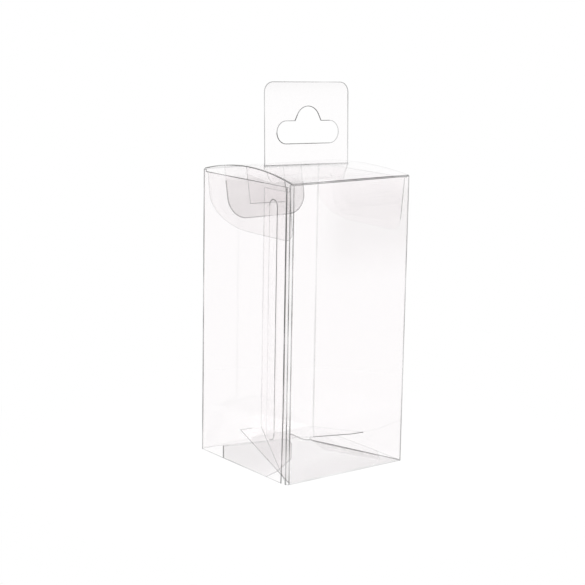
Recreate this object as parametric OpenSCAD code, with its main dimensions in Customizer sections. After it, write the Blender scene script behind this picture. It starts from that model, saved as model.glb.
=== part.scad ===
// Clear plastic hang box: one die-cut sheet folded into a carton with a
// self-locking bottom and a tuck lid, and a folded hang tab that stands
// through a slit in the lid. Millimetres. The origin is at the middle of the
// base, the front wall faces -Y and the lid turns on the front wall's top.

/* [Carton] */
// Width of the carton, across its front wall
carton_w = 63.5; // [55:0.5:90]
// Depth of the carton, from its front wall to its back wall
carton_d = 63.5; // [55:0.5:90]
// Height from the base to the creases of the lid
carton_h = 127; // [90:1:200]
// Thickness of the clear sheet
sheet = 0.3; // [0.2:0.05:0.4]
// Outer radius of the folded upright corners
corner_r = 0.6; // [0.45:0.05:1]
// Gap between the wall tops and the middle of the lid's creases
wall_drop = 0.3; // [0.25:0.05:0.6]
// Further drop of the side walls' tops, under the folds of the dust flaps
side_drop = 0.9; // [0.4:0.1:2]

/* [Side seam] */
// Outer radius of the fold between the front wall and the glue flap
seam_r = 1.5; // [0.8:0.1:1.8]
// Distance from that corner to the raw edge of the left wall
seam_edge_in = 2.7; // [2.2:0.1:5]
// Width of the glue flap inside the left wall
glue_flap_w = 19; // [17:0.5:24]
// Distance from the creases' height down to the top of the glue flap
glue_flap_top = 3.2; // [2:0.2:8]
// Height at which the glue flap has its full width
glue_flap_low = 21; // [14:1:30]
// Height at which the glue flap starts at the corner
glue_flap_foot = 1.5; // [1:0.5:4]
// Thickness of each line of glue
glue_t = 0.1; // [0.05:0.05:0.15]
// Width of the glue line in the side seam
seam_glue_w = 5.7; // [3:0.1:8]
// Distance from the seam's corner to the near side of the glue line
seam_glue_in = 9.3; // [5:0.1:11]
// Distance from the base to the lower end of the glue line
seam_glue_low = 16.8; // [15:0.2:30]
// Distance from the creases' height down to the upper end of the glue line
seam_glue_top = 7.3; // [5:0.1:20]

/* [Bottom flaps] */
// Angle at which the sprung bottom rises from the walls to its middle
base_rise = 13; // [6:1:16]
// Further angle by which the front flap's free corner bends up
corner_bend = 15; // [4:0.5:18]
// Angle by which the back flap's free corner bends down
back_bend = 5.5; // [2:0.5:8]
// Extra reach of each free corner beyond the step in the flaps' edges
corner_reach = 3; // [0:0.1:4]
// Width of the slanted end of each free corner
corner_end = 7.9; // [4:0.1:12]
// Half the step in the middle seam, where the two large flaps interlock
lock_step = 2.95; // [1:0.05:5]
// Length over which that step runs
lock_run = 7.5; // [4:0.5:12]
// Distance between the two flaps' stepped edges
lock_gap = 2; // [1:0.2:3]
// Gap between the straight edges of the flaps, and beside the walls
flap_gap = 0.4; // [0.3:0.05:0.8]
// Distance from a large flap's side to the corner of the carton, at its root
flap_side_in = 2.1; // [1.95:0.05:3]
// Distance that the tip of each side flap reaches from its wall
side_flap_reach = 27.8; // [20:0.2:29]
// Length of each side flap along its wall
side_flap_l = 49.5; // [44:0.5:54]
// Depth of the far edge's short straight part beside the wall
side_edge_out = 5.8; // [4:0.2:8]
// Distance that the far edge slants in by the middle of its slope
side_slope_in = 4.6; // [3:0.2:8]
// Width of the triangle that folds from each side flap under a large flap
glue_wing_w = 8; // [6:0.5:10]
// Distance from both walls at which that triangle's fold starts
glue_wing_in = 6.9; // [5:0.1:9]
// Length along the wall of the relief cut between that point and the corner
relief_l = 16.8; // [12:0.2:20]
// Width of the glue line on each triangle
wing_glue_w = 3; // [2:0.2:4]
// Length of the glue line on each triangle, between its round ends
wing_glue_l = 14; // [8:1:18]

/* [Dust flaps] */
// Length of each dust flap, folded down inside a side wall
dust_l = 23; // [15:0.5:30]
// Length of a dust flap at its end beside the back wall
dust_back_l = 9.5; // [5:0.5:12]
// Length of the curved part of a dust flap's lower edge
dust_curve = 28.5; // [20:0.5:35]
// Radius of the dust flap's corner beside the front wall
dust_r = 5; // [2:0.5:8]
// Distance between the ends of a dust flap and the corners
dust_end_gap = 2; // [1.5:0.5:4]
// Clear space in the fold between a side wall and its dust flap
dust_fold = 0.6; // [0.55:0.05:1]
// Angle at which a dust flap stands off its wall
dust_lean = 5; // [2:1:8]

/* [Lid] */
// Rise of the bowed lid above its creases
lid_bow = 3; // [2:0.2:6]
// Gap between the lid's side edges and the outside of the side walls
lid_side_gap = 0.4; // [0.2:0.1:1]
// Gap between the lid's back crease and the inside of the back wall
lid_back_gap = 0.1; // [0.1:0.05:0.3]
// Width of the tuck flap
tuck_w = 42.2; // [38:0.2:50]
// Length of the tuck flap
tuck_l = 23.4; // [20:0.1:26]
// Radius of the tuck flap's lower corners
tuck_r = 9.5; // [3:0.5:12]
// Length of the slit beyond each side of the hang tab, and its side play
slit_gap = 0.15; // [0.1:0.05:0.3]
// Width of the small diamond nick in the middle of the slit
nick_w = 1.8; // [1.2:0.1:3]

/* [Hang tab] */
// Width of the hang tab
tab_w = 45.2; // [42:0.2:50]
// Height of the hang tab above the top of the lid
tab_h = 35.4; // [33:0.1:45]
// Radius of the hang tab's top corners
tab_r = 4.5; // [2:0.5:8]
// Width of the hanging slot
slot_w = 33; // [30:0.5:36]
// Height of the hanging slot
slot_h = 9.5; // [8:0.1:10]
// Height of the slot's lower edge above the top of the lid
slot_up = 9.2; // [6:0.1:12]
// Radius of the round peg notch above the slot
peg_r = 6.2; // [4:0.1:7]
// Width of the peg notch where it opens into the slot
peg_w = 13.9; // [13:0.1:16]
// Length of the tab's foot below the top of the lid
foot_l = 7.2; // [6:0.2:9]
// Width of the foot and of the panel behind it, under the lid
panel_w = 40.6; // [36:0.2:42]
// Length of that panel at its full width
panel_l = 17.5; // [10:0.5:19]
// Width of the panel's neck and of the tail inside the tuck flap
tail_w = 20.4; // [16:0.2:24]
// Length of the tail, down the inside of the tuck flap
tail_l = 16.8; // [10:0.2:18]
// Gap between the tail and the tuck flap
tail_gap = 0.2; // [0.15:0.05:0.4]
// Distance from the creases' height down to the fold above the tail
tail_drop = 0.6; // [0.5:0.05:1]

/* [Hidden] */
clear_sheet = [0.9, 0.92, 0.94, 0.35];
clear_glue = [0.85, 0.86, 0.86, 0.5];
smooth = 48;
bow_smooth = 180;
half_w = carton_w / 2;
half_d = carton_d / 2;
wall_top = carton_h - wall_drop;
side_top = wall_top - side_drop;
// Where a flap's plate starts, within the thickness of its wall
root_in = sheet / 3;
// The glue flap lies one glue line inside the left wall
seam_x = sheet + glue_t;
// The seam's fold: facets of its round part, where the flat plates beyond it
// start, and the end of the straight parts that they overlap
seam_steps = 8;
seam_flat = 1.5 * seam_r;
seam_end = 2 * seam_r;

// Bottom flaps: the side flaps' plates start at low_z, the large ones above
low_z = 0.02;
high_z = low_z + seam_x / cos(base_rise);
flap_half_w = half_w - sheet - 2 * flap_gap;
flap_end_w = half_w - flap_gap;
short_reach = half_d - lock_step;
long_reach = half_d + lock_step - flap_gap;
lock_steps = 8;
lock_start = lock_run / 2 - lock_gap / 2;
// Direction, within the tilted flap, of the line from a corner to the middle
fold_dir = atan(1 / cos(base_rise));
// How far the two halves of a fold run into each other, and the small step in
// width from one side of a fold to the other
fold_lap = 0.1;
// A scored fold stands a little thicker than the sheet
fold_swell = 0.04;
fold_d = sheet + fold_swell;
// Length of the blunt end at a side flap's tip
tip_in = 5;
// How far the relief cut runs on into the triangle, along and off the wall
relief_run = 2;
relief_step = 3;
// How far the slanted end of a free corner reaches past its outer point
corner_slope = 1.3;
far = carton_w + carton_d;

// Lid: an arc of the sheet between its two creases, measured at mid-thickness
hinge_y = -half_d + sheet / 2;
crease_y = half_d - sheet - lid_back_gap - sheet / 2;
lid_span = crease_y - hinge_y;
lid_mid_y = (crease_y + hinge_y) / 2;
bow_r = (lid_span * lid_span / 4 + lid_bow * lid_bow) / (2 * lid_bow);
bow_z = carton_h + lid_bow - bow_r;
lid_w = carton_w - 2 * lid_side_gap;
ridge_z = carton_h + lid_bow;
// The tuck flap leans in just enough to swing past the back wall
tuck_spare = 0.6;
tuck_lean = asin(tuck_l / (2 * lid_span)) + tuck_spare;

// Hang tab: its foot, the panel under the lid and the tail
foot_z = ridge_z - foot_l;
tail_y = crease_y - sheet - tail_gap;
tail_z = carton_h - tail_drop;
panel_tilt = atan((tail_z - foot_z) / tail_y);
panel_run = tail_y / cos(panel_tilt);
foot_r = 1.6;
// Angle up the peg notch's circle at which its side slopes start
notch_slope = 24;

// Points of an arc, from angle a0 to angle a1
function arc(x, y, rx, ry, a0, a1, steps) =
    [for (i = [0 : steps]) let (a = a0 + (a1 - a0) * i / steps) [x + rx * cos(a), y + ry * sin(a)]];

// Lays a plan outline onto a plate that rises from its wall
function tilted(points) = [for (p = points) [p[0], p[1] / cos(base_rise)]];

// A plate standing in the X-Z plane, its thickness centred on Y
module upright_xz() {
    rotate([90, 0, 0]) linear_extrude(sheet, center = true) children();
}

// A section in the Y-Z plane, drawn out along X
module along_x(length) {
    rotate([90, 0, 90]) linear_extrude(length, center = true) children();
}

// A bar with round ends along X, in plan
module strip(length, width) {
    square([length, width], center = true);
    for (side = [-1, 1]) translate([side * length / 2, 0]) circle(d = width, $fn = smooth);
}

module rounded_square(w, d, r) {
    square([w - 2 * r, d], center = true);
    square([w, d - 2 * r], center = true);
    for (sx = [-1, 1], sy = [-1, 1])
        translate([sx * (w / 2 - r), sy * (d / 2 - r)]) circle(r, $fn = smooth);
}

// Carton

// Section of the fold into the glue flap, with a straight part on each side
seam_fold = concat(
    arc(seam_r, seam_r, seam_r, seam_r, 180, 270, seam_steps),
    [[seam_end, 0], [seam_end, sheet]],
    arc(seam_r, seam_r, seam_r - sheet, seam_r - sheet, 270, 180, seam_steps),
    [[sheet, seam_end], [0, seam_end]]
);

// Section of the four walls: three folded corners, and the rounder fold into
// the glue flap, which shows between the front wall and the left wall's edge
module wall_section() {
    difference() {
        rounded_square(carton_w, carton_d, corner_r);
        rounded_square(carton_w - 2 * sheet, carton_d - 2 * sheet, corner_r - sheet);
        translate([-half_w - sheet, -half_d - sheet]) {
            square([sheet + seam_x, sheet + seam_edge_in]);
            square([sheet + seam_x + seam_flat, 2 * sheet + corner_r]);
        }
    }
    translate([-half_w + seam_x, -half_d]) polygon(seam_fold);
}

module glue_flap() {
    translate([-half_w + seam_x + sheet / 2, -half_d, 0])
        along_x(sheet)
        polygon([
            [seam_flat, glue_flap_foot],
            [glue_flap_w, glue_flap_low],
            [glue_flap_w, carton_h - glue_flap_top],
            [seam_flat, carton_h - glue_flap_top]
        ]);
}

// The walls, with the tops of the side walls cut down beside the dust flaps
module walls() {
    run = carton_d - 2 * dust_end_gap + 2 * flap_gap;
    difference() {
        linear_extrude(wall_top) wall_section();
        for (side = [-1, 1])
            translate([side * half_w, 0, side_top + side_drop])
                cube([4 * sheet, run, 2 * side_drop], center = true);
    }
}

// Left dust flap: folded over the top of the wall and down inside it
module dust_flap() {
    run = carton_d - 2 * dust_end_gap;
    end_y = run / 2 - fold_lap;
    fold_x = sheet + dust_fold + sheet / 2;
    translate([-half_w, -run / 2, side_top - sheet]) cube([fold_x, run, sheet]);
    translate([-half_w + fold_x, 0, side_top - sheet / 2]) {
        rotate([90, 0, 0]) cylinder(h = run - fold_lap, d = fold_d, center = true, $fn = smooth);
        rotate([0, -dust_lean, 0])
            along_x(sheet)
            polygon(concat(
                [[end_y, 0], [-end_y, 0]],
                arc(-end_y + dust_r, dust_r - dust_l, dust_r, dust_r, 180, 270, 6),
                arc(end_y - dust_curve, -dust_back_l, dust_curve, dust_l - dust_back_l, 270, 360, 12)
            ));
    }
}

// Outline of a large bottom flap in plan: the right half ends along the
// diagonal, over the side flap's fold, and the left half has the free corner.
// The step of the middle seam runs between them.
large_outline = concat(
    [
        [-half_w + flap_side_in, root_in],
        [flap_half_w, root_in]
    ],
    [for (i = [0 : lock_steps]) [
        lock_start - lock_run * i / lock_steps,
        short_reach + (long_reach - short_reach) * (1 - cos(180 * i / lock_steps)) / 2
    ]],
    [
        [-flap_end_w + corner_end, long_reach + corner_reach + corner_slope],
        [-flap_end_w, long_reach + corner_reach]
    ]
);

// One side of a large flap's diagonal fold line, bent up or down about that
// line, on the face that the bend closes
module flap_part(bend, side) {
    pivot = bend < 0 ? sheet : 0;
    translate([-half_w, 0, pivot])
        rotate([0, 0, fold_dir])
        rotate([bend, 0, 0])
        translate([0, 0, -pivot])
        linear_extrude(sheet)
        intersection() {
            translate([0, side > 0 ? 0 : -far]) square([far, far]);
            rotate(-fold_dir) translate([half_w, 0]) polygon(tilted(large_outline));
        }
}

module large_flap(bend) {
    translate([0, -half_d, high_z]) rotate([base_rise, 0, 0]) {
        flap_part(bend, 1);
        flap_part(0, -1);
    }
}

// Outline of the right side flap, from the front corner along its wall
side_outline = [
    [relief_l, root_in],
    [side_flap_l, root_in],
    [side_flap_l, side_edge_out],
    [side_flap_l - side_slope_in, (side_edge_out + side_flap_reach) / 2],
    [side_flap_reach + tip_in, side_flap_reach - tip_in / 3],
    [side_flap_reach, side_flap_reach + fold_lap],
    [glue_wing_in, glue_wing_in + fold_lap]
];

// Outline of its glue triangle, from the same corner along the front wall
wing_outline = [
    [glue_wing_in, glue_wing_in + fold_lap],
    [side_flap_reach, side_flap_reach + fold_lap],
    [side_flap_reach, side_flap_reach - glue_wing_w],
    [glue_wing_in + relief_run, glue_wing_in - relief_step]
];

// The right side flap with its triangle under the front flap
module side_flap() {
    translate([half_w, -half_d, low_z]) {
        rotate([0, 0, 90]) rotate([base_rise, 0, 0]) linear_extrude(sheet) polygon(tilted(side_outline));
        rotate([base_rise, 0, 0]) mirror([1, 0, 0]) linear_extrude(sheet) polygon(tilted(wing_outline));
    }
}

module carton() {
    color(clear_sheet) {
        walls();
        glue_flap();
        dust_flap();
        mirror([1, 0, 0]) dust_flap();
        large_flap(corner_bend);
        rotate([0, 0, 180]) large_flap(-back_bend);
        side_flap();
        rotate([0, 0, 180]) side_flap();
    }
}

// Lid with its tuck flap

module lid_arc() {
    intersection() {
        translate([lid_mid_y, bow_z]) difference() {
            circle(bow_r + sheet / 2, $fn = bow_smooth);
            circle(bow_r - sheet / 2, $fn = bow_smooth);
        }
        polygon([
            [lid_mid_y, bow_z],
            [hinge_y + (hinge_y - lid_mid_y), bow_z + 2 * (carton_h - bow_z)],
            [crease_y + (crease_y - lid_mid_y), bow_z + 2 * (carton_h - bow_z)]
        ]);
    }
}

module tuck_outline() {
    translate([-tuck_w / 2, -tuck_l + tuck_r]) square([tuck_w, tuck_l - tuck_r]);
    translate([-tuck_w / 2 + tuck_r, -tuck_l]) square([tuck_w - 2 * tuck_r, tuck_r]);
    for (side = [-1, 1])
        translate([side * (tuck_w / 2 - tuck_r), -tuck_l + tuck_r]) circle(tuck_r, $fn = smooth);
}

module lid() {
    color(clear_sheet) {
        difference() {
            along_x(lid_w) {
                lid_arc();
                for (y = [hinge_y, crease_y]) translate([y, carton_h]) circle(d = sheet, $fn = smooth);
            }
            translate([-tab_w / 2 - slit_gap, -sheet / 2 - slit_gap, carton_h])
                cube([tab_w + 2 * slit_gap, sheet + 2 * slit_gap, 2 * lid_bow]);
            translate([0, 0, carton_h])
                linear_extrude(2 * lid_bow)
                polygon([[-nick_w / 2, 0], [0, -nick_w / 2], [nick_w / 2, 0], [0, nick_w / 2]]);
        }
        translate([0, crease_y, carton_h]) rotate([-tuck_lean, 0, 0]) upright_xz() tuck_outline();
    }
}

// Hang tab

// The slot with round ends and the round peg notch over its middle, which
// opens into the slot with a short slope on each side
module hang_hole() {
    slope_x = peg_r * cos(notch_slope);
    slope_y = peg_r * sin(notch_slope);
    strip(slot_w - slot_h, slot_h);
    translate([0, slot_h / 2]) {
        circle(peg_r, $fn = smooth);
        polygon([
            [-peg_w / 2, -sheet],
            [peg_w / 2, -sheet],
            [peg_w / 2, 0],
            [slope_x, slope_y],
            [-slope_x, slope_y],
            [-peg_w / 2, 0]
        ]);
    }
}

module tab_outline() {
    neck_z = ridge_z - sheet;
    foot_w = panel_w - 2 * fold_lap;
    difference() {
        union() {
            translate([0, (ridge_z + tab_h + neck_z) / 2])
                rounded_square(tab_w, ridge_z + tab_h - neck_z, tab_r);
            translate([-tab_w / 2, neck_z]) square([tab_w, 2 * tab_r]);
            polygon([
                [-tab_w / 2, neck_z],
                [-foot_w / 2, foot_z + foot_r],
                [-foot_w / 2 + foot_r, foot_z],
                [foot_w / 2 - foot_r, foot_z],
                [foot_w / 2, foot_z + foot_r],
                [tab_w / 2, neck_z]
            ]);
        }
        translate([0, ridge_z + slot_up + slot_h / 2]) hang_hole();
    }
}

module hang_tab() {
    taper = (panel_w - tail_w) / 2;
    color(clear_sheet) {
        upright_xz() tab_outline();
        translate([0, 0, foot_z])
            rotate([panel_tilt, 0, 0])
            linear_extrude(sheet, center = true)
            polygon([
                [-panel_w / 2 + foot_r, 0],
                [panel_w / 2 - foot_r, 0],
                [panel_w / 2, foot_r],
                [panel_w / 2, panel_l],
                [tail_w / 2, panel_l + taper],
                [tail_w / 2, panel_run],
                [-tail_w / 2, panel_run],
                [-tail_w / 2, panel_l + taper],
                [-panel_w / 2, panel_l],
                [-panel_w / 2, foot_r]
            ]);
        along_x(panel_w - 2 * foot_r - 3 * fold_lap) translate([0, foot_z]) circle(d = fold_d, $fn = smooth);
        along_x(tail_w - fold_lap) translate([tail_y, tail_z]) circle(d = fold_d, $fn = smooth);
        translate([0, tail_y, tail_z])
            rotate([-tuck_lean, 0, 0])
            upright_xz()
            translate([-tail_w / 2 + fold_lap, -tail_l])
            square([tail_w - 2 * fold_lap, tail_l]);
    }
}

// Glue

module seam_glue() {
    length = carton_h - seam_glue_top - seam_glue_low - seam_glue_w;
    color(clear_glue)
        translate([
            -half_w + sheet + glue_t / 2,
            -half_d + seam_glue_in + seam_glue_w / 2,
            seam_glue_low + (length + seam_glue_w) / 2
        ])
        along_x(glue_t)
        rotate(90)
        strip(length, seam_glue_w);
}

// The line of glue between the front flap and the triangle under it
module bottom_glue_front() {
    middle = (glue_wing_in + side_flap_reach) / 2;
    off = glue_wing_w / 5;
    color(clear_glue)
        translate([half_w, -half_d, low_z])
        rotate([base_rise, 0, 0])
        translate([-middle - off, (middle - off) / cos(base_rise), sheet])
        linear_extrude(glue_t)
        rotate(-fold_dir)
        strip(wing_glue_l, wing_glue_w);
}

module bottom_glue_back() {
    rotate([0, 0, 180]) bottom_glue_front();
}

carton();
lid();
hang_tab();
seam_glue();
bottom_glue_front();
bottom_glue_back();
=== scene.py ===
"""Clear plastic hang box: a carton folded from clear sheet, its tuck lid, and the hang tab in the lid."""

import math

import bmesh
import bpy
from mathutils import Matrix, Vector


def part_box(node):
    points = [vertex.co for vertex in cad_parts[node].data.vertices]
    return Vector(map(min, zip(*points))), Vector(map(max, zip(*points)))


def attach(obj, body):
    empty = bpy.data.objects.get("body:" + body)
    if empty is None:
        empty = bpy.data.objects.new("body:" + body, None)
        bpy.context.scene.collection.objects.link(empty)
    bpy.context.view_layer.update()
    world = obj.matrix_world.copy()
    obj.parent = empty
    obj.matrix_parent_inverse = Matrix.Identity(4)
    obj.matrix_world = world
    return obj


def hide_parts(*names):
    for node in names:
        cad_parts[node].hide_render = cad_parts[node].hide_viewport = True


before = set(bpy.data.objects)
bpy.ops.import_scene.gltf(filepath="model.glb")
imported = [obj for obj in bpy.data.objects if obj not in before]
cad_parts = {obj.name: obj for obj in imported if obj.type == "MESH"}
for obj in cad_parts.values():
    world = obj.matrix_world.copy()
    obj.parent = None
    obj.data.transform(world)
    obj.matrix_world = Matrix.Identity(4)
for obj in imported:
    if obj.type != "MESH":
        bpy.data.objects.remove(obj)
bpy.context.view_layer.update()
MM = 0.001


# Walls and glue flap: the die-cut blank of clear plastic sheet, 0.3 mm thick. It is creased at the corners
# and folded into a tube. The last strip is the glue flap, glued inside the left wall, which ends in a raw cut
# edge.

sheet = 0.3 * MM
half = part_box("carton")[1].x
wall_top = 126.7 * MM
side_top = 125.8 * MM
side_ear = 1.6 * MM
corner_r = 0.45 * MM
seam_r = 1.35 * MM
seam_gap = 0.1 * MM
seam_edge_in = 2.7 * MM
glue_flap_w, glue_flap_top, glue_flap_low, glue_flap_foot = 19 * MM, 123.8 * MM, 21 * MM, 1.5 * MM
glue_flap_in = 0.2 * MM
raw_edge_in, raw_edge_straight, raw_edge_band = 0.9 * MM, 35 * MM, 0.6 * MM


class Wire:
    """A shader socket, or a number, with Python's operators; each operation adds the node that does it."""

    def __init__(self, tree, value):
        self.tree, self.value = tree, value

    def node(self, kind, settings=None, output=0, **inputs):
        """Adds a node of that type: its settings first, then the values or links of its sockets. A socket
        goes by its name with _ for each space, or by _ and its number where two have the same name."""
        made = self.tree.nodes.new(kind)
        for name, value in (settings or {}).items():
            setattr(made, name, value)
        for name, value in inputs.items():
            key = int(name[1:]) if name[0] == "_" else name.replace("_", " ")
            value = value.value if isinstance(value, Wire) else value
            if isinstance(value, bpy.types.NodeSocket):
                self.tree.links.new(value, made.inputs[key])
            else:
                made.inputs[key].default_value = value
        return Wire(self.tree, made.outputs[output] if made.outputs else None)

    def other(self, output):
        """Another output of the node that this wire comes from."""
        return Wire(self.tree, self.value.node.outputs[output])

    def maths(self, operation, a, b=0.0, clamp=False):
        return self.node("ShaderNodeMath", {"operation": operation, "use_clamp": clamp}, _0=a, _1=b)

    def __add__(self, other):
        return self.maths("ADD", self, other)

    def __rsub__(self, other):
        return self.maths("SUBTRACT", other, self)

    def __mul__(self, other):
        return self.maths("MULTIPLY", self, other)

    def __pow__(self, other):
        return self.maths("POWER", self, other)

    __radd__, __rmul__ = __add__, __mul__

    def clamped(self):
        return self.maths("ADD", self, 0.0, clamp=True)

    def fade(self, low, high, at_low=0.0, at_high=1.0):
        """A smooth change from at_low, where this wire is low, to at_high, where it is high."""
        return self.node(
            "ShaderNodeMapRange", {"interpolation_type": "SMOOTHSTEP"},
            Value=self, From_Min=low, From_Max=high, To_Min=at_low, To_Max=at_high,
        )


def new_material(name):
    """A material with an empty tree, and the wire that its nodes start from."""
    material = bpy.data.materials.new(name)
    material.use_nodes = True
    material.node_tree.nodes.clear()
    return material, Wire(material.node_tree, None)


def finish_material(material, shader):
    shader.node("ShaderNodeOutputMaterial", Surface=shader)
    return material


def clear_sheet(name, haze, painted_shade=0.0, shade_fades=()):
    """Clear plastic sheet: see-through and very faintly pink, with an uneven haze and a reflection that grows
    towards grazing views. Painted shade and painted reflection come in as extra grey haze along each fade,
    (direction, low, high), between its two distances."""
    head_on_gloss = 0.045
    material, start = new_material(name)
    place = start.node("ShaderNodeTexCoord", output="Object")
    cloud = start.node("ShaderNodeTexNoise", Vector=place, Scale=22.0, Detail=3.0, Roughness=0.55)
    facing = start.node("ShaderNodeLayerWeight", output="Facing", Blend=0.5)
    reflect = (head_on_gloss + (1 - head_on_gloss) * facing ** 5).clamped()
    for direction, low, high in shade_fades:
        dot = {"operation": "DOT_PRODUCT"}
        along = start.node("ShaderNodeVectorMath", dot, output="Value", _0=place, _1=direction)
        painted_shade = painted_shade * along.fade(low, high)
    haze_here = ((haze + painted_shade) * (0.6 + 0.8 * cloud)).clamped()
    film = start.node("ShaderNodeBsdfPrincipled", Base_Color=(0.42, 0.395, 0.39, 1), Roughness=0.5, IOR=1.0)
    gloss = start.node("ShaderNodeBsdfPrincipled", Base_Color=(1, 1, 1, 1), Metallic=1.0, Roughness=0.05)
    open_air = start.node("ShaderNodeBsdfTransparent", Color=(1, 0.9945, 0.996, 1))
    body = start.node("ShaderNodeMixShader", _0=haze_here, _1=open_air, _2=film)
    return finish_material(material, start.node("ShaderNodeMixShader", _0=reflect, _1=body, _2=gloss))


def cut_edge(name):
    """The cut or folded rim of a sheet, painted grey: painted refraction, standing in for light that leaves
    the rim sideways. "tone" says how dark, and it fades in and out along the rim."""
    material, start = new_material(name)
    place = start.node("ShaderNodeTexCoord", output="Object")
    grain = start.node("ShaderNodeTexNoise", Vector=place, Scale=170.0, Detail=2.0)
    tone = start.node("ShaderNodeAttribute", {"attribute_name": "tone"}, output="Fac")
    spread = start.node("ShaderNodeTexNoise", Vector=place, Scale=36.0, Detail=1.0)
    uneven = start.node(
        "ShaderNodeMapRange", Value=spread, From_Min=0.38, From_Max=0.62, To_Min=0.6, To_Max=1.3
    )
    solid = (tone * uneven * (0.72 + 0.56 * grain)).clamped()
    rim = start.node("ShaderNodeBsdfPrincipled", Base_Color=(0.09, 0.088, 0.088, 1), Roughness=0.35)
    open_air = start.node("ShaderNodeBsdfTransparent", Color=(1, 1, 1, 1))
    return finish_material(material, start.node("ShaderNodeMixShader", _0=solid, _1=open_air, _2=rim))


# The walls' painted reflection: a grey band, painted as extra haze, lies high on the front one, below its
# top, and is strongest towards the right.
wall_reflection_fades = [
    ((0, 0, 1), 80 * MM, 108 * MM),
    ((0, 0, -1), -128 * MM, -114 * MM),
    ((1, 0, 0), -22 * MM, 0.0),
    ((0, -1, 0), half - 0.6 * MM, half - 0.1 * MM),
]
wall_sheet = clear_sheet("wall_sheet", 0.005, 0.1, wall_reflection_fades)
edge = cut_edge("sheet_edge")
edge_slot = 1
cut_tolerance = 1e-8


def inset(loop, distance, sharpest=0.35):
    """The loop moved inwards by distance; points run anticlockwise round the sheet, and clockwise round a
    hole. sharpest keeps the new points of sharp corners near."""
    moved = []
    for before, point, after in zip(loop[-1:] + loop[:-1], loop, loop[1:] + loop[:1]):
        a = (Vector(point[:2]) - Vector(before[:2])).normalized()
        b = (Vector(after[:2]) - Vector(point[:2])).normalized()
        na, nb = Vector((-a.y, a.x)), Vector((-b.y, b.x))
        share = max(1 + na.dot(nb), sharpest)
        moved.append(Vector(point[:2]) + (na + nb) * (distance / share))
    return moved


def ring_of(face):
    """The numbers of a flat face's corners, anticlockwise seen from above."""
    ring = [v.index for v in face.verts]
    return ring[::-1] if face.normal.z < 0 else ring


def sheet_piece(name, loops, place, material, rim=0.28 * MM, thick=sheet, cuts_u=(), cuts_v=(), creases=()):
    """A closed sheet cut to loops of (u, v, tone) and put in space by place(u, v, w), w being 0 to thick.
    Each point's tone is that of the cut edge after it. creases are (u, v, angle, half width, tone): bands
    folded along a line."""
    flat = bmesh.new()
    tone = flat.faces.layers.float.new("tone")
    inner_edges = []
    for loop in loops:
        outer = [flat.verts.new((u, v, 0)) for u, v, _ in loop]
        inner = [flat.verts.new((p.x, p.y, 0)) for p in inset(loop, rim)]
        count = len(loop)
        for i in range(count):
            j = (i + 1) % count
            face = flat.faces.new((outer[i], outer[j], inner[j], inner[i]))
            face[tone], face.material_index = loop[i][2], edge_slot
            inner_edges.append(flat.edges.get((inner[i], inner[j])))
    bmesh.ops.triangle_fill(flat, edges=inner_edges, use_beauty=True)
    bands = []
    for u, v, angle, width, crease_tone in creases:
        across = Vector((-math.sin(math.radians(angle)), math.cos(math.radians(angle)), 0))
        bands.append((Vector((u, v, 0)), across, width, crease_tone))
    cuts = [(Vector((u, 0, 0)), Vector((1, 0, 0))) for u in cuts_u]
    cuts += [(Vector((0, v, 0)), Vector((0, 1, 0))) for v in cuts_v]
    for middle, across, width, _ in bands:
        cuts += [(middle + across * (side * width), across) for side in (-1, 1)]
    for point, normal in cuts:
        everything = flat.verts[:] + flat.edges[:] + flat.faces[:]
        bmesh.ops.bisect_plane(flat, geom=everything, plane_co=point, plane_no=normal, dist=cut_tolerance)
    for face in flat.faces:
        for middle, across, width, crease_tone in bands:
            if abs((face.calc_center_median() - middle).dot(across)) < width:
                face.material_index = edge_slot
                face[tone] = max(face[tone], crease_tone)
    flat.verts.index_update()
    points = [v.co.copy() for v in flat.verts]
    count = len(points)
    vertices = [place(p.x, p.y, w) for w in (0, thick) for p in points]
    faces, slots, tones = [], [], []
    for face in flat.faces:
        ring = ring_of(face)
        for cycle in ([i + count for i in ring], ring[::-1]):
            faces.append(cycle)
            slots.append(face.material_index)
            tones.append(face[tone])
    for side in flat.edges:
        if len(side.link_faces) == 1:
            face = side.link_faces[0]
            ring = ring_of(face)
            a, b = side.verts[0].index, side.verts[1].index
            if ring[(ring.index(a) + 1) % len(ring)] != b:
                a, b = b, a
            faces.append([a, b, b + count, a + count])
            slots.append(edge_slot)
            tones.append(face[tone])
    flat.free()
    mesh = bpy.data.meshes.new(name)
    mesh.from_pydata(vertices, [], faces)
    solid = bmesh.new()
    solid.from_mesh(mesh)
    if solid.calc_volume(signed=True) < 0:
        mesh.flip_normals()
    solid.free()
    mesh.materials.append(material)
    mesh.materials.append(edge)
    mesh.polygons.foreach_set("material_index", slots)
    mesh.attributes.new("tone", "FLOAT", "FACE").data.foreach_set("value", tones)
    mesh.validate()
    piece = bpy.data.objects.new(name, mesh)
    bpy.context.scene.collection.objects.link(piece)
    return piece


def arc(u, v, radius, start, end, tone, steps=10, radius_v=None):
    """Points of a round corner, from angle start to angle end in degrees, each with the tone of its edge. A
    second radius makes the corner an oval one."""
    angles = [math.radians(start + (end - start) * i / steps) for i in range(steps + 1)]
    return [(u + radius * math.cos(a), v + (radius_v or radius) * math.sin(a), tone) for a in angles]


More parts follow.
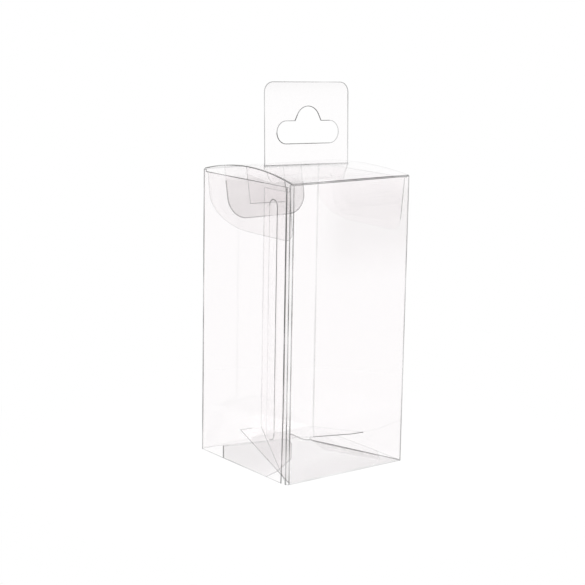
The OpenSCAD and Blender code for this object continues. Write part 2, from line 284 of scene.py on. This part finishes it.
class FoldPath:
    """The line that a folded strip follows in plan, at mid-thickness, with its corners rounded."""

    def __init__(self, corners, radii):
        self.runs, self.folds, at = [], [], 0.0
        corners = [Vector(c) for c in corners]
        place = corners[0]
        for corner, beyond, radius in zip(corners[1:], corners[2:] + [None], [*radii, 0]):
            ahead = (corner - place).normalized()
            after = (beyond - corner).normalized() if beyond else ahead
            angle = ahead.angle(after)
            trim = radius * math.tan(angle / 2)
            length = (corner - place).length - trim
            self.runs.append((at, at + length, place, ahead, 0.0))
            at += length
            if beyond:
                bend = radius * angle
                curve = math.copysign(1 / radius, ahead.x * after.y - ahead.y * after.x)
                self.runs.append((at, at + bend, place + ahead * length, ahead, curve))
                self.folds.append((at, at + bend))
                at += bend
                place = corner + after * trim
        self.length = at

    def at(self, u):
        """The point at distance u, and the direction to its right."""
        for u0, u1, place, ahead, curve in self.runs:
            if u <= u1 or u1 >= self.length:
                step = u - u0
                if curve:
                    angle = step * curve
                    side = Vector((-ahead.y, ahead.x))
                    place = place + (ahead * math.sin(angle) + side * (1 - math.cos(angle))) / curve
                    ahead = Matrix.Rotation(angle, 2) @ ahead
                else:
                    place = place + ahead * step
                return place, Vector((ahead.y, -ahead.x))


mid = half - sheet / 2
seam_x = -half + sheet + seam_gap + sheet / 2
wall_path = FoldPath(
    [
        (-mid, -half + seam_edge_in), (-mid, mid), (mid, mid), (mid, -mid),
        (seam_x, -mid), (seam_x, -half + glue_flap_w),
    ],
    [corner_r, corner_r, corner_r, seam_r],
)


def on_walls(u, v, w):
    """A point of the folded blank: u along the walls, v up, w through the sheet from its outside face."""
    point, right = wall_path.at(u)
    point = point + right * (w - sheet / 2)
    return Vector((point.x, point.y, v))


fold_tones, fold_steps = (0.8, 0.14, 0.7), 5
folds = [((u0 + u1) / 2, 0, 90, (u1 - u0) / 2, tone) for (u0, u1), tone in zip(wall_path.folds, fold_tones)]
seam_start, seam_end = wall_path.folds[3]
seam_line = 0.2 * MM
folds += [
    (seam_start + seam_line, 0, 90, seam_line, 0.6),
    (seam_end - 2 * seam_line, 0, 90, seam_line, 0.65),
    ((seam_start + seam_end) / 2, 0, 90, (seam_end - seam_start) / 2, 0.03),
    (0, 0, 90, raw_edge_band, 1.0),
]
fold_cuts = [u0 + (u1 - u0) * i / fold_steps for u0, u1 in wall_path.folds for i in range(1, fold_steps)]
left_end, right_start, right_end = wall_path.folds[0][0], wall_path.folds[1][1], wall_path.folds[2][0]
flap_start, flap_end = seam_end + glue_flap_in, wall_path.length
blank = [
    (raw_edge_in, 0, 0.18), (right_start, 0, 0.1), (right_end, 0, 0.2), (seam_end, 0, 0.3),
    (flap_start, glue_flap_foot, 0.35), (flap_end, glue_flap_low, 0.16), (flap_end, glue_flap_top, 0.2),
    (flap_start, glue_flap_top, 0.4), (seam_end, wall_top, 0.8),
    (right_end, wall_top, 0.5), (right_end - side_ear, wall_top, 0.2), (right_end - side_ear, side_top, 0.15),
    (right_start + side_ear, side_top, 0.2), (right_start + side_ear, wall_top, 0.2),
    (right_start, wall_top, 0.15), (left_end, wall_top, 0.45), (left_end - side_ear, wall_top, 0.5),
    (left_end - side_ear, side_top, 0.5), (0, side_top, 1.0), (0, raw_edge_straight, 1.0),
]
walls = sheet_piece("walls", [blank], on_walls, wall_sheet, cuts_u=fold_cuts, creases=folds)
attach(walls, "carton")
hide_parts("carton")


# Side seam's glue: a line of clear glue between the glue flap and the left wall. It was pressed flat when the
# seam was closed, so its ends are round; its rim is painted darker than its middle, as painted refraction.

glue_low, glue_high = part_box("seam_glue")


def clear_glue(name):
    """Dried clear glue: see-through, a little milky, with fine streaks along the line."""
    material, start = new_material(name)
    place = start.node("ShaderNodeTexCoord", output="Object")
    streak = start.node("ShaderNodeTexNoise", Vector=place, Scale=240.0, Detail=2.0)
    milky = (0.05 + 0.06 * streak).clamped()
    glue = start.node("ShaderNodeBsdfPrincipled", Base_Color=(0.93, 0.92, 0.92, 1), Roughness=0.25)
    open_air = start.node("ShaderNodeBsdfTransparent", Color=(1, 1, 1, 1))
    return finish_material(material, start.node("ShaderNodeMixShader", _0=milky, _1=open_air, _2=glue))


glue = clear_glue("seam_glue_clear")
glue_r = (glue_high.y - glue_low.y) / 2
glue_mid = (glue_high.y + glue_low.y) / 2
glue_line = arc(glue_mid, glue_low.z + glue_r, glue_r, 180, 270, 0.4)
glue_line += arc(glue_mid, glue_low.z + glue_r, glue_r, 270, 360, 0.16)[1:]
glue_line += arc(glue_mid, glue_high.z - glue_r, glue_r, 0, 180, 0.55, 20)
glue_line[-1] = (*glue_line[-1][:2], 1.0)
seam_glue = sheet_piece(
    "seam_glue_line", [glue_line], lambda u, v, w: Vector((glue_low.x + w, u, v)), glue,
    rim=0.4 * MM, thick=glue_high.x - glue_low.x,
)
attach(seam_glue, "carton")
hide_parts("seam_glue")


# Bottom: the two side flaps, each with a triangle that folds under a large flap and is glued to it, and over
# them the front and back flaps, which hook into each other. The bottom is sprung up in the middle.

rise = math.radians(13)
low_z = 0.02 * MM
high_z = low_z + (sheet + seam_gap) / math.cos(rise)
root = 0.1 * MM
side_flap_l, side_flap_reach = 49.5 * MM, 27.8 * MM
side_tip_in, side_tip_l = 5 / 3 * MM, 5 * MM
shoulder_reach, shoulder_back, side_end_reach = 16.8 * MM, 4.6 * MM, 5.8 * MM
wing_in, wing_w, relief_l = 6.9 * MM, 8 * MM, 16.8 * MM
wing_start_in, wing_start_back = 2 * MM, 3 * MM
flap_half_w, flap_end_w, flap_side_in = 30.65 * MM, 31.35 * MM, 2.1 * MM
short_reach, long_reach = 28.8 * MM, 34.3 * MM
corner_reach, corner_end, corner_slope = 3 * MM, 7.9 * MM, 1.3 * MM
lock_start, lock_run, lock_steps = 2.75 * MM, 7.5 * MM, 12
base_sheet = clear_sheet("base_sheet", 0.02)
# Painted shade: extra grey haze on the left side flap, growing towards the back, and on the front flap,
# growing towards its fold at the front wall.
left_flap_sheet = clear_sheet("left_flap_sheet", 0.012, 0.04, [((0, 1, 0), -13 * MM, 3 * MM)])
front_flap_sheet = clear_sheet("front_flap_sheet", 0.006, 0.04, [((0, -1, 0), 12 * MM, 31 * MM)])


def side_flap_place(turn):
    def place(a, b, w):
        """a is the distance from the side wall and b from the front one; the fold is where they are equal."""
        depth = min(a, b)
        tilt = (math.sin(rise), 0, math.cos(rise)) if b > a else (0, -math.sin(rise), math.cos(rise))
        point = Vector((half - a, -half + b, low_z + depth * math.tan(rise))) + Vector(tilt) * w
        return Vector((turn * point.x, turn * point.y, point.z))
    return place


def side_outline(relief, wing, tip, far):
    return [
        (root, relief_l, relief), (wing_in, wing_in, relief),
        (wing_in + wing_start_in, wing_in - wing_start_back, wing),
        (side_flap_reach, side_flap_reach - wing_w, wing), (side_flap_reach, side_flap_reach, tip),
        (side_flap_reach - side_tip_in, side_flap_reach + side_tip_l, far),
        (shoulder_reach, side_flap_l - shoulder_back, far), (side_end_reach, side_flap_l, far),
        (root, side_flap_l, 0.1),
    ]


wing_fold_half_w = 0.22 * MM
score = (5.6 * MM, 0, 90, 0.15 * MM, 0.25)
for side, turn, tones, creases, material in (
    ("right", 1, (0.08, 0.05, 0.2, 0.1), [(0, 0, 45, wing_fold_half_w, 0.6), score], base_sheet),
    ("left", -1, (1.0, 0.12, 0.3, 0.35), [(0, 0, 45, wing_fold_half_w, 0.3)], left_flap_sheet),
):
    side_flap = sheet_piece(
        f"side_flap_{side}", [side_outline(*tones)], side_flap_place(turn), material,
        rim=0.4 * MM, creases=creases,
    )
    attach(side_flap, "carton")


def large_outline(diagonal, step_tone, free, end, side):
    step = [
        (lock_start - lock_run * i / lock_steps,
         short_reach + (long_reach - short_reach) * (1 - math.cos(math.pi * i / lock_steps)) / 2, step_tone)
        for i in range(lock_steps + 1)
    ]
    step[-1] = (*step[-1][:2], free)
    return [
        (-half + flap_side_in, root, 0.1), (flap_half_w, root, diagonal), *step,
        (-flap_end_w + corner_end, long_reach + corner_reach + corner_slope, end),
        (-flap_end_w, long_reach + corner_reach, side),
    ]


def large_flap_place(bend, turn):
    fold = math.atan(1 / math.cos(rise))
    axis = Vector((math.cos(fold), math.sin(fold), 0))
    pivot = Vector((0, 0, sheet if bend < 0 else 0))
    fold_turn = Matrix.Rotation(math.radians(bend), 3, axis)

    def place(u, v, w):
        """A point of a large flap, whose free corner is bent about the line from the carton's corner."""
        point = Vector((u + half, v / math.cos(rise), w))
        if math.atan2(point.y, point.x) > fold:
            point = fold_turn @ (point - pivot) + pivot
        point = Matrix.Rotation(rise, 3, "X") @ point
        return Vector((turn * (point.x - half), turn * (point.y - half), point.z + high_z))
    return place


flap_fold = (-half, 0, 45, 0.1 * MM, 0.08)
for side, bend, turn, tones, material in (
    ("front", 15, 1, (0.6, 0.6, 0.08, 0.35, 0.5), front_flap_sheet),
    ("back", -5.5, -1, (0.12, 0.3, 1.0, 0.9, 0.15), base_sheet),
):
    flap = sheet_piece(
        f"{side}_flap", [large_outline(*tones)], large_flap_place(bend, turn), material,
        rim=0.34 * MM, creases=[flap_fold],
    )
    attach(flap, "carton")
for name in ("bottom_glue_front", "bottom_glue_back"):
    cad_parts[name].data.materials.clear()
    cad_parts[name].data.materials.append(glue)


# Dust flaps: part of the same blank, folded over the tops of the side walls and down inside them. They spring
# inwards a little, so the lower edge stands off the wall.

dust_l, dust_back_l, dust_curve, dust_r, dust_end = 23 * MM, 9.5 * MM, 28.5 * MM, 5 * MM, 29.65 * MM
dust_fold_x, dust_fold_z, dust_fold_r, dust_lean = 1.05 * MM, side_top - sheet / 2, 0.2 * MM, math.radians(5)
# Painted shade: the left dust flap has a heavier grey haze than the right, with more towards the front.
dust_left = clear_sheet("dust_flap_left_sheet", 0.035, 0.02, [((0, -1, 0), -30 * MM, -5 * MM)])
dust_right = clear_sheet("dust_flap_right_sheet", 0.008)
dust_path = FoldPath(
    [
        (0, dust_fold_z), (dust_fold_x, dust_fold_z),
        (dust_fold_x + dust_l * math.sin(dust_lean), dust_fold_z - dust_l * math.cos(dust_lean)),
    ],
    [dust_fold_r],
)


def dust_place(turn):
    def place(u, v, w):
        """A point of a dust flap: u over the wall's top and down inside it, v from front to back."""
        point, right = dust_path.at(u)
        point = point + right * (w - sheet / 2)
        return Vector((turn * (half - point.x), v, point.y))
    return place


drop = dust_path.length
oval_u, oval_r = drop - dust_l + dust_back_l, dust_l - dust_back_l
for side, turn, tone, material in (("left", -1, 0.2, dust_left), ("right", 1, 0.03, dust_right)):
    dust_outline = [
        (0, -dust_end, 0.3), *arc(drop - dust_r, -dust_end + dust_r, dust_r, 270, 360, tone),
        *arc(oval_u, dust_end - dust_curve, oval_r, 0, 90, tone, 16, dust_curve), (0, dust_end, 0.3),
    ]
    dust_flap = sheet_piece(
        f"dust_flap_{side}", [dust_outline], dust_place(turn), material, cuts_u=dust_path.folds[0]
    )
    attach(dust_flap, "carton")


# Lid: the top panel, hinged on the crease along the front wall's top. The sheet keeps a curl, so the lid
# stands bowed, more at its left edge than at its right. Its back end is creased down into the tuck flap.

hinge_z = 127 * MM
hinge_y, crease_y = -half + sheet / 2, 31.2 * MM
lid_half_w, tuck_half_w, tuck_l, tuck_r = 31.35 * MM, 21.1 * MM, 23.4 * MM, 9.5 * MM
lid_bow, lid_bow_skew, bow_steps = 3 * MM, -0.03, 24
swing_spare = math.radians(0.6)
tuck_lean = math.asin(tuck_l / (2 * (crease_y - hinge_y))) + swing_spare
tuck_pale_l = 6 * MM
lid_crease_half_w, lid_edge_band = 0.12 * MM, 1.1 * MM
tab_half_w, tab_off, slit_half, slit_spare, nick = 22.6 * MM, 0.6 * MM, 0.3 * MM, 0.15 * MM, 0.9 * MM
# Painted shade: the lid sheet gets extra grey haze on the tuck flap, growing from 123.5 mm down to 119.5 mm
# up.
lid_sheet = clear_sheet("lid_sheet", 0.004, 0.15, [((0, 0, -1), -123.5 * MM, -119.5 * MM)])


def lid_place(u, v, w):
    """A point of the lid and its tuck flap: u across, v back along the lid and then down the tuck flap."""
    w = w - sheet / 2
    if v > crease_y:
        down = v - crease_y
        along = Vector((0, -math.sin(tuck_lean), -math.cos(tuck_lean)))
        out = Vector((0, math.cos(tuck_lean), -math.sin(tuck_lean)))
        return Vector((u, crease_y, hinge_z)) + along * down + out * w
    reach = (crease_y - hinge_y) / 2
    share = (v - (crease_y + hinge_y) / 2) / reach
    bow = lid_bow + lid_bow_skew * u
    slope = -2 * bow * share / reach
    return Vector((u, v, hinge_z + bow * (1 - share * share))) + Vector((0, -slope, 1)).normalized() * w


end_v = crease_y + tuck_l
lid_outline = [
    (-lid_half_w, hinge_y, 0.9), (lid_half_w, hinge_y, 0.15), (lid_half_w, crease_y, 0.15),
    (tuck_half_w, crease_y, 0.3), *arc(tuck_half_w - tuck_r, end_v - tuck_r, tuck_r, 0, 90, 0.4),
    *arc(-tuck_half_w + tuck_r, end_v - tuck_r, tuck_r, 90, 180, 0.5),
    (-tuck_half_w, crease_y + tuck_pale_l, 0.08), (-tuck_half_w, crease_y, 0.15),
    (-lid_half_w, crease_y, 1.0),
]
slit_end, nick_foot = tab_half_w + slit_spare, nick - slit_half
slit = [
    (-slit_end, -slit_half, 0.9), (-slit_end, slit_half, 0.9), (-nick_foot, slit_half, 1.0), (0, nick, 1.0),
    (nick_foot, slit_half, 0.7), (slit_end, slit_half, 0.7), (slit_end, -slit_half, 0.7),
    (nick_foot, -slit_half, 1.0), (0, -nick, 1.0), (-nick_foot, -slit_half, 0.9),
]
slit = [(u + tab_off, v, tone) for u, v, tone in slit]
lid_cuts = [hinge_y + (crease_y - hinge_y) * i / bow_steps for i in range(1, bow_steps)]
lid = sheet_piece(
    "lid_panel", [lid_outline, slit], lid_place, lid_sheet, rim=0.4 * MM, cuts_v=lid_cuts,
    creases=[(0, crease_y, 0, lid_crease_half_w, 0.2), (-lid_half_w, 0, 90, lid_edge_band, 0.95)],
)
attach(lid, "lid")
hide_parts("lid")


# Hang tab: a second die-cut piece of the same sheet, folded once under the lid and once at the back. The
# lid's slit holds it upright. Its foot and panel lie under the lid, and its tail goes down inside the tuck
# flap.

tab_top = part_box("hang_tab")[1].z
ridge_z, ridge_half_w = 130 * MM, 0.16 * MM
foot_z, tail_y, tail_z, tail_l = 122.8 * MM, 30.7 * MM, 126.4 * MM, 16.8 * MM
neck_half_w, foot_r, panel_l, tail_half_w = 20.3 * MM, 1.6 * MM, 17.5 * MM, 10.2 * MM
tab_r, tab_fold_r = 4.5 * MM, 0.3 * MM
slot_half_w, slot_h, slot_up = 16.5 * MM, 9.5 * MM, 9.2 * MM
peg_r, peg_half_w, peg_turn, hole_off = 6.2 * MM, 6.95 * MM, 66, 0.6 * MM
tab_slope, tab_lean = 0.03, math.tan(math.radians(1.8))
tab_path = FoldPath(
    [
        (0, tab_top), (0, foot_z), (tail_y, tail_z),
        (tail_y - tail_l * math.sin(tuck_lean), tail_z - tail_l * math.cos(tuck_lean)),
    ],
    [tab_fold_r, tab_fold_r],
)
tab_sheet = clear_sheet("hang_tab_sheet", 0.004)


def tab_place(u, v, w):
    """A point of the strip: u down the tab and along its folds, v across. It slopes down to the right with
    the lid's uneven bow, and its upright part leans back."""
    point, right = tab_path.at(u)
    point = point - right * (w - sheet / 2)
    above = max(point.y - ridge_z, 0)
    return Vector((v + tab_off, point.x + above * tab_lean, point.y - v * tab_slope))


foot_u = (tab_path.folds[0][0] + tab_path.folds[0][1]) / 2
ridge_u = tab_top - ridge_z
taper = neck_half_w - tail_half_w
half_tab = [
    (ridge_u, tab_half_w, 0.4), (foot_u - foot_r, neck_half_w, 0.12), (foot_u, neck_half_w - foot_r, 0.08),
    (foot_u + foot_r, neck_half_w, 0.06), (foot_u + panel_l, neck_half_w, 0.08),
    (foot_u + panel_l + taper, tail_half_w, 0.08), (tab_path.length, tail_half_w, 0.5),
]
left_tones = (0.12, 0.08, 0.06, 0.08, 0.08, 0.2, 0.8)
left_side = [(u, -v, tone) for (u, v, _), tone in zip(half_tab, left_tones)]
tab_outline = (
    arc(tab_r, -tab_half_w + tab_r, tab_r, 180, 270, 0.4) + left_side + half_tab[::-1]
    + arc(tab_r, tab_half_w - tab_r, tab_r, 90, 180, 0.4)
)
slot_low = ridge_u - slot_up
slot_r = slot_h / 2
slot_mid, slot_top = slot_low - slot_r, slot_low - slot_h
hole = (
    [(slot_mid + slot_r, slot_half_w - slot_r, 0.85)]
    + arc(slot_mid, slot_half_w - slot_r, slot_r, 0, 180, 0.4)[1:]
    + [(slot_top, peg_half_w, 0.85)]
    + arc(slot_top, 0, peg_r, 180 - peg_turn, 180, 0.95, 8)
    + arc(slot_top, 0, peg_r, 180, 180 + peg_turn, 0.5, 8)[1:]
    + [(slot_top, -peg_half_w, 0.8)]
    + arc(slot_mid, -slot_half_w + slot_r, slot_r, 180, 270, 0.4)
    + arc(slot_mid, -slot_half_w + slot_r, slot_r, 270, 360, 0.75)[1:]
)[::-1]
hole = [(u, v + hole_off, tone) for u, v, tone in hole]
tab_cuts = [u for fold in tab_path.folds for u in fold]
hang_tab = sheet_piece(
    "hang_tab_strip", [tab_outline, hole], tab_place, tab_sheet, cuts_u=tab_cuts,
    creases=[(ridge_u, 0, 90, ridge_half_w, 0.3)],
)
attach(hang_tab, "lid")
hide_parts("hang_tab")


# Studio: a plain white floor that keeps the box's shadow, a white surround, soft lamps, and the camera at the
# photograph's own place and angle.

floor_half, floor_drop = 6.0, 0.2 * MM
floor_corners = [(x * floor_half, y * floor_half, 0) for x, y in ((-1, -1), (1, -1), (1, 1), (-1, 1))]
floor_mesh = bpy.data.meshes.new("floor")
floor_mesh.from_pydata(floor_corners, [], [(0, 1, 2, 3)])
floor = bpy.data.objects.new("floor", floor_mesh)
bpy.context.scene.collection.objects.link(floor)
floor.location.z = -floor_drop
floor_material, start = new_material("floor_white")
place = start.node("ShaderNodeTexCoord", output="Object")
seen = start.node("ShaderNodeLightPath", output="Is Camera Ray")
far_off = start.node("ShaderNodeVectorMath", {"operation": "LENGTH"}, output="Value", _0=place)
white = far_off.fade(50 * MM, 160 * MM, 0.93, 1.0)
shown = (seen * white + seen.other("Is Glossy Ray")).clamped()
paper = start.node("ShaderNodeBsdfDiffuse", Color=(0.95, 0.95, 0.95, 1))
glow = start.node("ShaderNodeEmission", Color=(1, 1, 1, 1), Strength=1.0)
floor_mesh.materials.append(
    finish_material(floor_material, start.node("ShaderNodeMixShader", _0=shown, _1=paper, _2=glow))
)

world = bpy.data.worlds.new("studio")
bpy.context.scene.world = world
world.use_nodes = True
world.node_tree.nodes.clear()
sky = Wire(world.node_tree, None)
room_light, dim_reflection = 0.55, 0.45
seen = sky.node("ShaderNodeLightPath", output="Is Camera Ray")
glossy = seen.other("Is Glossy Ray")
heading = sky.node("ShaderNodeTexCoord", output="Generated")
up = sky.node("ShaderNodeSeparateXYZ", output="Z", Vector=heading)
reflected = up.fade(0.3, 0.6, 1.0, dim_reflection) * up.other("Y").fade(-0.6, 0.0, dim_reflection, 1.0)
level = seen + (1 - seen) * (glossy * reflected + (1 - glossy) * room_light)
backdrop = sky.node("ShaderNodeBackground", Color=(1, 1, 1, 1), Strength=level)
sky.node("ShaderNodeOutputWorld", Surface=backdrop)

lamp_aim, lamp_size = Vector((0, 0, 0.06)), 0.9
for name, place, power in (("key_lamp", (-0.9, -0.8, 1.3), 22), ("fill_lamp", (1.1, -0.5, 0.9), 8)):
    light = bpy.data.lights.new(name, "AREA")
    light.shape, light.size, light.energy = "DISK", lamp_size, power
    lamp = bpy.data.objects.new(name, light)
    lamp.location = place
    lamp.rotation_euler = (lamp_aim - Vector(place)).to_track_quat("-Z", "Y").to_euler()
    bpy.context.scene.collection.objects.link(lamp)

focal_px, frame_px, sensor_w = 1592, 585, 36
yaw, pitch, roll = (math.radians(a) for a in (37.134, 11.432, 1.003))
front_corner = Vector((-half, -half, 0))
offset = Vector((-2.769, 81.04, 667.41)) * MM
aim = Matrix(((1, 0, 0), (0, 0, -1), (0, 1, 0)))
turn = Matrix.Rotation(yaw, 3, "Z")
tip = Matrix.Rotation(pitch, 3, "X")
lean = Matrix.Rotation(roll, 3, "Z")
view = lean @ tip @ aim @ turn
camera_data = bpy.data.cameras.new("camera")
camera_data.sensor_width = sensor_w
camera_data.lens = focal_px / frame_px * sensor_w
camera = bpy.data.objects.new("camera", camera_data)
upright = Matrix(((1, 0, 0), (0, -1, 0), (0, 0, -1)))
pose = (upright @ view).transposed().to_4x4()
pose.translation = front_corner - view.transposed() @ offset
camera.matrix_world = pose
bpy.context.scene.collection.objects.link(camera)
bpy.context.scene.camera = camera
bpy.context.scene.view_settings.view_transform = "Standard"
bpy.context.scene.cycles.transparent_max_bounces = 48
